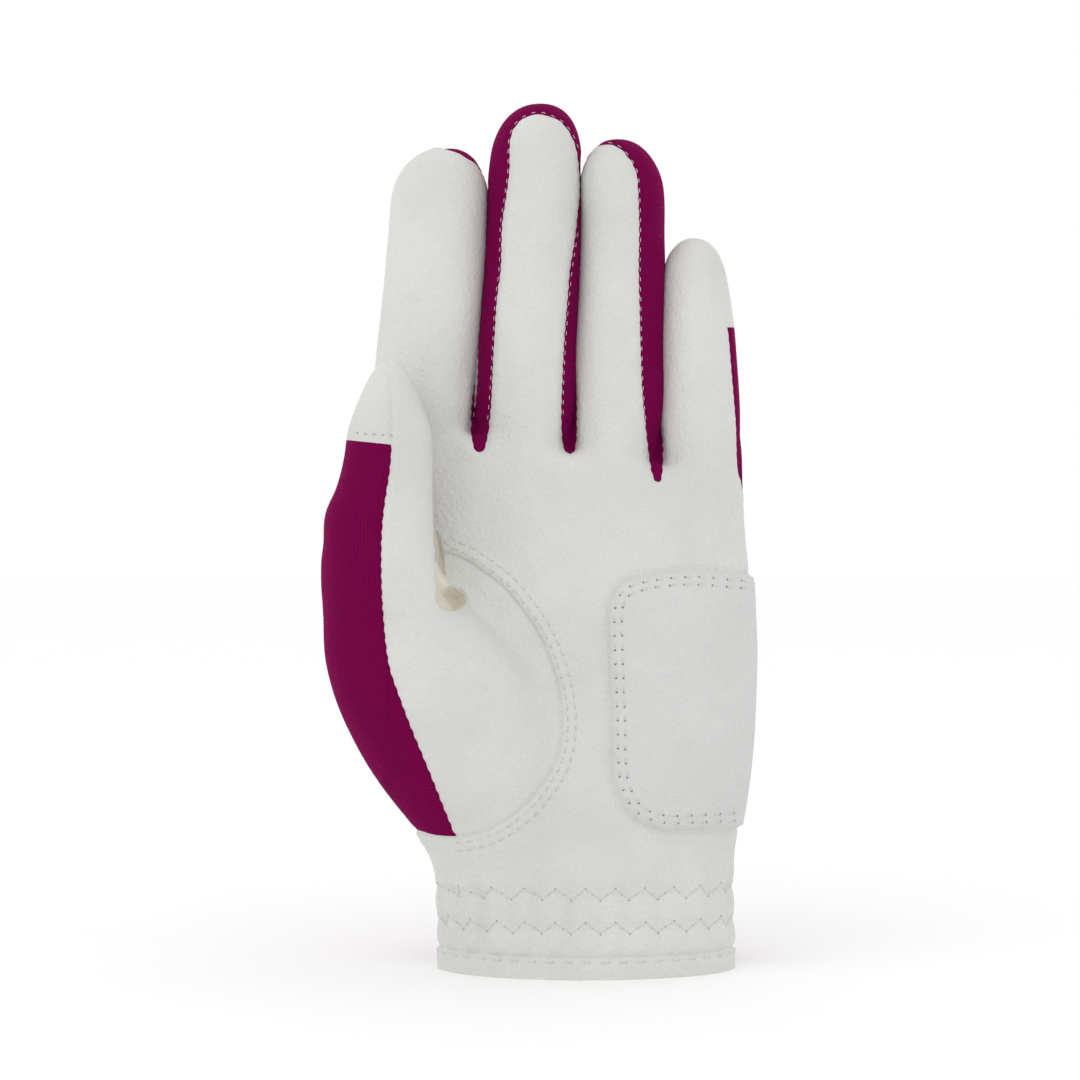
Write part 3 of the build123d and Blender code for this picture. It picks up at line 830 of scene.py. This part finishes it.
REPLACED = {"index_palm_lower": ["palm_panel"], "index_back_lower": ["back_panel"],
            "little_palm_upper": ["little_palm_upper", "little_tip_cap"]}
for name in DIGITS:
    verts, normals, tris, keep, side, uv = digit_pieces(name)
    digit_surfaces[name] = BVHTree.FromPolygons((verts * MM).tolist(), tris[keep].tolist())
    off_edge = side[:, 3]
    if name == "thumb":
        cap = side[:, 4] & ~side[:, 5]
        pieces = [("thumb_tip_cap", "upper", keep & cap, WHITE_MAT),
                  ("thumb_back_upper", "upper", keep & ~side[:, 4] & ~off_edge, KNIT_MAT),
                  ("thumb_palm_upper", "upper", keep & ~cap & (off_edge | side[:, 4]), WHITE_MAT)]
    else:
        pieces = [(f"{name}_{kind}_{stage}", stage, keep & in_stage & in_panel, mat)
                  for stage, in_stage in (("lower", ~side[:, 1]), ("upper", side[:, 1]))
                  for kind, in_panel, mat in (("palm", ~off_edge, WHITE_MAT), ("back", off_edge, KNIT_MAT))]
    for node_name, stage, chosen, mat in pieces:
        obj = mesh_object(node_name + "_skin", verts, tris[chosen], mat, uv, normals, SKIN)
        bend(obj, name, stage)
        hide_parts(*REPLACED.get(node_name, [node_name]))
print("skins done", flush=True)


# ---- stitches on the seams
def cast(start, toward, tree):
    """Point and normal where a surface is first met, or None."""
    hit, normal, _, _ = tree.ray_cast(Vector(start) * MM, (Vector(toward) - Vector(start)).normalized())
    return None if hit is None else (np.array(hit) / MM, np.array(normal))


def from_front(point, tree):
    return cast(CAM, (point[0], 0, point[1]), tree)


def from_side(arc, z, tree):
    turn = np.interp(arc, ARC, TURN)
    x, y = WRIST_X * math.sin(turn), -WRIST_Y * math.cos(turn)
    return cast((2 * x, 2 * y, z), (0, 0, z), tree)


def circle(centre, u, w, radius, count):
    angles = np.arange(count) * 2 * math.pi / count
    return [centre + radius * (math.cos(a) * u + math.sin(a) * w) for a in angles]


class Sewing:
    """Collects thread and needle holes for one moving body."""

    def __init__(self):
        self.verts, self.tris, self.count = {}, {}, {}

    def put(self, kind, v, t):
        start = self.count.get(kind, 0)
        self.verts.setdefault(kind, []).append(v)
        self.tris.setdefault(kind, []).append(np.array(t) + start)
        self.count[kind] = start + len(v)

    def stitch(self, a, b, radius=0.2, lift=0.12):
        """A tapered thread from one surface point to another, standing a little proud."""
        (pa, na), (pb, nb) = a, b
        length = np.linalg.norm(pb - pa)
        if length > 6 or length < 0.2:
            return
        ahead = (pb - pa) / length
        rings = []
        for t in (0.0, 0.12, 0.5, 0.88, 1.0):
            n = na * (1 - t) + nb * t
            n = n / np.linalg.norm(n)
            across = np.cross(ahead, n)
            centre = pa * (1 - t) + pb * t + n * (lift * 4 * t * (1 - t) + 0.02)
            r = radius * (0.35 if t in (0.0, 1.0) else 1.0)
            rings.append(circle(centre, across, n, r, 6))
        v = np.array(rings).reshape(-1, 3)
        t = [(i * 6 + k, i * 6 + (k + 1) % 6, i * 6 + 6 + (k + 1) % 6) for i in range(4) for k in range(6)]
        t += [(i * 6 + k, i * 6 + 6 + (k + 1) % 6, i * 6 + 6 + k) for i in range(4) for k in range(6)]
        t += [(0, k + 1, k) for k in range(1, 5)] + [(24, 24 + k, 25 + k) for k in range(1, 5)]
        self.put("thread", v, t)

    def hole(self, at, radius=0.3, kind="hole"):
        """A small dark disc where the needle went in, coloured with painted shade of the hole."""
        p, n = at
        u = np.cross(n, (0.3, 0.2, 0.9))
        u = u / np.linalg.norm(u)
        w = np.cross(n, u)
        ring = circle(p + n * 0.05, u, w, radius, 8)
        low = circle(p - n * 0.12, u, w, 1.2 * radius, 8)
        v = np.array(ring + low + [p + n * 0.03, p - n * 0.12])
        t = [(k, (k + 1) % 8, 16) for k in range(8)] + [(8 + (k + 1) % 8, 8 + k, 17) for k in range(8)]
        t += [(k, 8 + k, (k + 1) % 8) for k in range(8)]
        t += [((k + 1) % 8, 8 + k, 8 + (k + 1) % 8) for k in range(8)]
        self.put(kind, v, t)

    def finish(self, name, body=None):
        """Makes the meshes; they ride on a body, or are left to the caller."""
        made = []
        for kind, mat in (("thread", THREAD_MAT), ("hole", HOLE_SHADE_MAT), ("deep_shade_hole", DEEP_HOLE_SHADE_MAT)):
            if kind in self.verts:
                obj = mesh_object(f"{kind}_{name}", np.concatenate(self.verts[kind]),
                                  np.concatenate(self.tris[kind]), mat)
                made.append(obj)
                if body:
                    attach(obj, body)
        return made


def offset_line(line, distance, outline):
    """A line beside another, on the outline's outer side for a positive distance."""
    tangent = np.gradient(line, axis=0)
    normal = np.stack([-tangent[:, 1], tangent[:, 0]], 1)
    normal /= np.linalg.norm(normal, axis=1)[:, None]
    outside = polyline_distance(line + 0.5 * normal, outline, closed=True)
    return line + normal * distance * np.sign(outside)[:, None]


def sew_row(sewing, line, pitch, dash, tree, radius, hole, kind="hole"):
    """Stitches along a line, each with a needle hole at its end."""
    line = evenly(line, pitch)
    for a, b in zip(line[:-1], line[1:]):
        ends = [from_front(a + (b - a) * t, tree) for t in (0.5 - dash / 2, 0.5 + dash / 2)]
        if None in ends:
            continue
        sewing.stitch(*ends, radius=radius)
        sewing.hole(ends[1], hole, kind)


hand_sewing = Sewing()
set_line = smooth_line(flat([(-23.6, 98.5), (-22.4, 97.1)]) + THUMB_SET[2:18])
for distance in (1.35, 3.25):
    sew_row(hand_sewing, offset_line(set_line, distance, THUMB_SET), 2.5, 0.5, surface, 0.12, 0.17)
heel_shape = smooth_line(HEEL[11:] + HEEL[:9])
for distance in (-1.8, -3.5):
    sew_row(hand_sewing, offset_line(heel_shape, distance, HEEL), 3.3, 0.4, surface, 0.12, 0.26, "deep_shade_hole")

# small stitches over the edge of each finger's leather
edge_line = np.array(WHITE)
edge_line = edge_line[(edge_line[:, 1] > 112) & (edge_line[:, 1] < 199) & (np.abs(edge_line[:, 0]) < 45)]
edge_breaks = np.flatnonzero(np.linalg.norm(np.diff(edge_line, axis=0), axis=1) > 4) + 1
finger_sewing = {}


def sew_edge(point, normal, name):
    """One stitch along a finger's seam, if the seam is in sight there."""
    tree = digit_surfaces[name]
    ends = [from_front(point + normal * t, tree) for t in (-0.3, 0.3)]
    if None in ends or max(e[0][1] for e in ends) > -1.0 or abs(ends[0][0][1] - ends[1][0][1]) > 1.2:
        return
    line = white_line(np.array([e[0] for e in ends]), name)
    if line.min() > 0 or line.max() < 0:
        return
    outward = 0.18 if line[1] > line[0] else -0.18
    half = 0.5 * np.array([normal[1], -normal[0]])
    ends = [from_front(point + normal * outward + half * t, tree) for t in (-1, 1)]
    if None not in ends:
        stage = "upper" if ends[0][0][2] > DIGITS[name]["part"] else "lower"
        finger_sewing.setdefault((name, stage), Sewing()).stitch(*ends, radius=0.07, lift=0.04)


for run in np.split(edge_line, edge_breaks):
    if len(run) < 4:
        continue
    run = evenly(run, 2.3)
    tangent = np.gradient(run, axis=0)
    across = np.stack([-tangent[:, 1], tangent[:, 0]], 1) / np.linalg.norm(tangent, axis=1)[:, None]
    for point, normal in zip(run, across):
        for name in ("index", "middle", "ring", "little"):
            sew_edge(point, normal, name)
for (name, stage), sewing in finger_sewing.items():
    for obj in sewing.finish(f"{name}_{stage}"):
        bend(obj, name, stage)

# zigzag rows over the wrist elastics: each leg follows the pleats in small steps
LEG_STEPS = 8
LAST_LEG = 22
for low, high in ROWS:
    for k in range(-LAST_LEG, LAST_LEG + 1):
        previous, z = (high, low) if k % 2 else (low, high)
        if k > -LAST_LEG:
            leg = [from_side((k - 1 + t) * LEG, previous + (z - previous) * t, surface)
                   for t in np.arange(LEG_STEPS + 1) / LEG_STEPS]
            for a, b in zip(leg[:-1], leg[1:]):
                if a and b:
                    hand_sewing.stitch(a, b, radius=0.11, lift=0.02)
            if leg[LEG_STEPS // 2]:
                hand_sewing.hole(leg[LEG_STEPS // 2], 0.18, "deep_shade_hole")
        here = from_side(k * LEG, z, surface)
        if here:
            hand_sewing.hole(here, 0.22, "deep_shade_hole")
HEM_PITCH, HEM_ROW = 4.0, 4.0
for k in range(-20, 21):
    a, b = [from_side(k * HEM_PITCH + t, HEM_ROW, surface) for t in (-0.9, 0.9)]
    if a and b and not (abs(a[0][0]) < 4 and a[0][1] > 0):
        hand_sewing.stitch(a, b, radius=0.14)
        hand_sewing.hole(b, 0.16)
hand_sewing.finish("hand", "hand")

thumb_sewing = Sewing()
cap_row = flat([(-43.6, 124.2), (-39.5, 123.7), (-33.7, 123.4)])
sew_row(thumb_sewing, smooth_line(cap_row), 2.1, 0.4, digit_surfaces["thumb"], 0.1, 0.18, "deep_shade_hole")
thumb_sewing.finish("thumb", "thumb")


# ---- wrist closure and inside bands
def bisect(within, low, high, steps=30):
    """Where a test that starts true turns false, for a whole array at once."""
    for _ in range(steps):
        mid = (low + high) / 2
        inside = within(mid)
        low, high = np.where(inside, mid, low), np.where(inside, high, mid)
    return (low + high) / 2


def behind_wrist(x, z, away):
    """How far back (+Y) a layer lies that stands away from the plain wrist."""
    within = lambda y: palm_field(np.stack([x, y, z], -1)) < away
    return bisect(within, np.full_like(x, 4.0), np.full_like(x, 34.0))


def grid_tris(n_u, n_v):
    """Triangles over a grid of points, given as n_u rows of n_v."""
    i = np.arange(n_u * n_v).reshape(n_u, n_v)
    a, b, c, d = (corner.ravel() for corner in (i[:-1, :-1], i[1:, :-1], i[1:, 1:], i[:-1, 1:]))
    return np.concatenate([np.stack([a, b, c], 1), np.stack([a, c, d], 1)])


def back_layer(name, left, right, bottom, top, away, mat, thick, round_left, round_right, soft=0.3):
    """A rounded strip laid over the back of the wrist."""
    n_x, n_z = 90, 60
    x = left + (right - left) * np.linspace(0, 1, n_x)
    half = (top - bottom) / 2
    shrink = np.zeros(n_x)
    for radius, edge in ((round_left, x - left), (round_right, right - x)):
        near = np.clip(1 - edge / radius, 0, 1)
        shrink = np.maximum(shrink, radius * (1 - np.sqrt(1 - near ** 2)))
    v = np.linspace(-1, 1, n_z)
    grid_x = np.repeat(x[:, None], n_z, 1)
    grid_z = (top + bottom) / 2 + v[None] * np.maximum(half - shrink, 0.3)[:, None]
    inset = np.minimum(grid_x - left, right - grid_x)
    inset = np.minimum(inset, (half - shrink)[:, None] * (1 - np.abs(v))[None])
    lift = away(grid_x) if callable(away) else away
    lift = lift - soft * (1 - step_up(inset / 1.1)) - 0.12 * bell(inset - 2.2, 0.5)
    points = np.stack([grid_x, behind_wrist(grid_x, grid_z, lift), grid_z], -1).reshape(-1, 3)
    tris = grid_tris(n_x, n_z)[:, [0, 2, 1]]
    return mesh_object(name, points, tris, mat, points[:, [0, 2]], thick=thick), points, tris


def tab_away(x):
    """The tab lies on the wrist at its sewn end and rises over the hook and loop pads."""
    return along(x, [(-20, 1.1), (-17, 1.7), (-11, 2.9), (-7, 3.3), (27, 3.3)])


tab, tab_points, tab_tris = back_layer("closure_tab_leather", -20, 27, 9, 33, tab_away, WHITE_MAT, 1.0, 4, 9)
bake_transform(tab)
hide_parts("closure_tab", "tab_base")
for piece, body, replaced, layer in (
        ("tab_lining_felt", "tab", "tab_lining", (-6.0, 26.2, 9.8, 32.2, 2.28, BEIGE_MAT, 0.5, 0.5, 8)),
        ("hook_patch_bristle", "tab", "hook_patch", (8, 24, 11.5, 30.5, 1.76, HOOK_MAT, 0.6, 2, 6, 0.1)),
        ("loop_patch_pile", "hand", "loop_patch", (6.5, 25.5, 10.5, 31.5, 0.95, LOOP_MAT, 0.9, 2, 2, 0.2))):
    obj, _, _ = back_layer(piece, *layer)
    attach(obj, body)
    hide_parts(replaced)

# one row of stitches round the tab, shared out between its sewn end and its free part
tab_tree = BVHTree.FromPolygons((tab_points * MM).tolist(), tab_tris.tolist())
ROW_HALF = 9.9
TAB_ROWS = {"hand": (-19, -8.6, 0.62, 0.03, lambda w: (-17.9, TAB_Z + 14.5 * w)),
            "tab": (-4.8, 26, 1.25, 0.05,
                    lambda w: (18.2 + 6.8 * math.cos(w), TAB_Z + ROW_HALF * math.sin(w)))}
for body, (low_x, high_x, turn, gap, end) in TAB_ROWS.items():
    rows = Sewing()
    pairs = []
    for z in (TAB_Z - ROW_HALF, TAB_Z + ROW_HALF):
        xs = np.arange(-18, 19, 2.4)
        pairs += [((a + 0.5, z), (b - 0.5, z)) for a, b in zip(xs[:-1], xs[1:])
                  if a >= low_x and b <= high_x]
    turns = np.linspace(-turn, turn, 9)
    pairs += [(end(a + gap), end(b - gap)) for a, b in zip(turns[:-1], turns[1:])]
    for pair in pairs:
        ends = [cast((x, 40, z), (x, 0, z), tab_tree) for x, z in pair]
        if None not in ends:
            rows.stitch(*ends, radius=0.18)
    rows.finish("closure_" + body, body)

for name, base in (("wrist_elastic_lower", 7.6), ("wrist_elastic_upper", 15.2)):
    angle, z = np.linspace(math.radians(104), math.radians(436), 240), np.linspace(base, base + 3, 7)
    angle, z = np.meshgrid(angle, z, indexing="ij")
    inset = -1.35 + 0.12 * np.cos(angle * 52) - 0.1 * np.cos(z * 4.2)
    place = lambda r: np.stack([r * np.cos(angle), r * np.sin(angle), z], -1)
    radius = bisect(lambda r: palm_field(place(r)) < inset, np.full(z.shape, 8.0), np.full(z.shape, 40.0))
    points = place(radius).reshape(-1, 3)
    band = mesh_object(name + "_band", points, grid_tris(*z.shape), ELASTIC_MAT, thick=0.6)
    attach(band, "hand")
    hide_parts(name)


# ---- floor and light
scene = bpy.context.scene
floor_mat = material("floor", fibre((1.0, 1.0, 1.0, 1), (0.985, 0.985, 0.985, 1), 20, 0.9))
floor_mesh = bpy.data.meshes.new("floor")
floor_mesh.from_pydata([(-6, -6, 0), (6, -6, 0), (6, 6, 0), (-6, 6, 0)], [], [(0, 1, 2, 3)])
floor_mesh.materials.append(floor_mat)
floor = bpy.data.objects.new("floor", floor_mesh)
scene.collection.objects.link(floor)

world = bpy.data.worlds.new("studio")
scene.world = world
world.use_nodes = True
world.node_tree.nodes["Background"].inputs["Color"].default_value = (1, 1, 1, 1)
world.node_tree.nodes["Background"].inputs["Strength"].default_value = 1.0
scene.view_settings.view_transform = "Standard"
scene.view_settings.look = "None"

light_data = bpy.data.lights.new("key", "AREA")
light_data.shape = "RECTANGLE"
light_data.size = light_data.size_y = 1.1
light_data.energy = 1.3
light = bpy.data.objects.new("key", light_data)
light.location = (-0.45, -0.6, 0.7)
light.rotation_euler = (Vector((0, 0, 0.1)) - light.location).to_track_quat("-Z", "Y").to_euler()
scene.collection.objects.link(light)

camera_data = bpy.data.cameras.new("camera")
camera_data.sensor_width = 36
camera_data.lens = 86.0
camera_data.clip_start = 0.01
camera = bpy.data.objects.new("camera", camera_data)
camera.location = CAM * MM
camera.rotation_euler = (math.pi / 2, 0, 0)
scene.collection.objects.link(camera)
scene.camera = camera
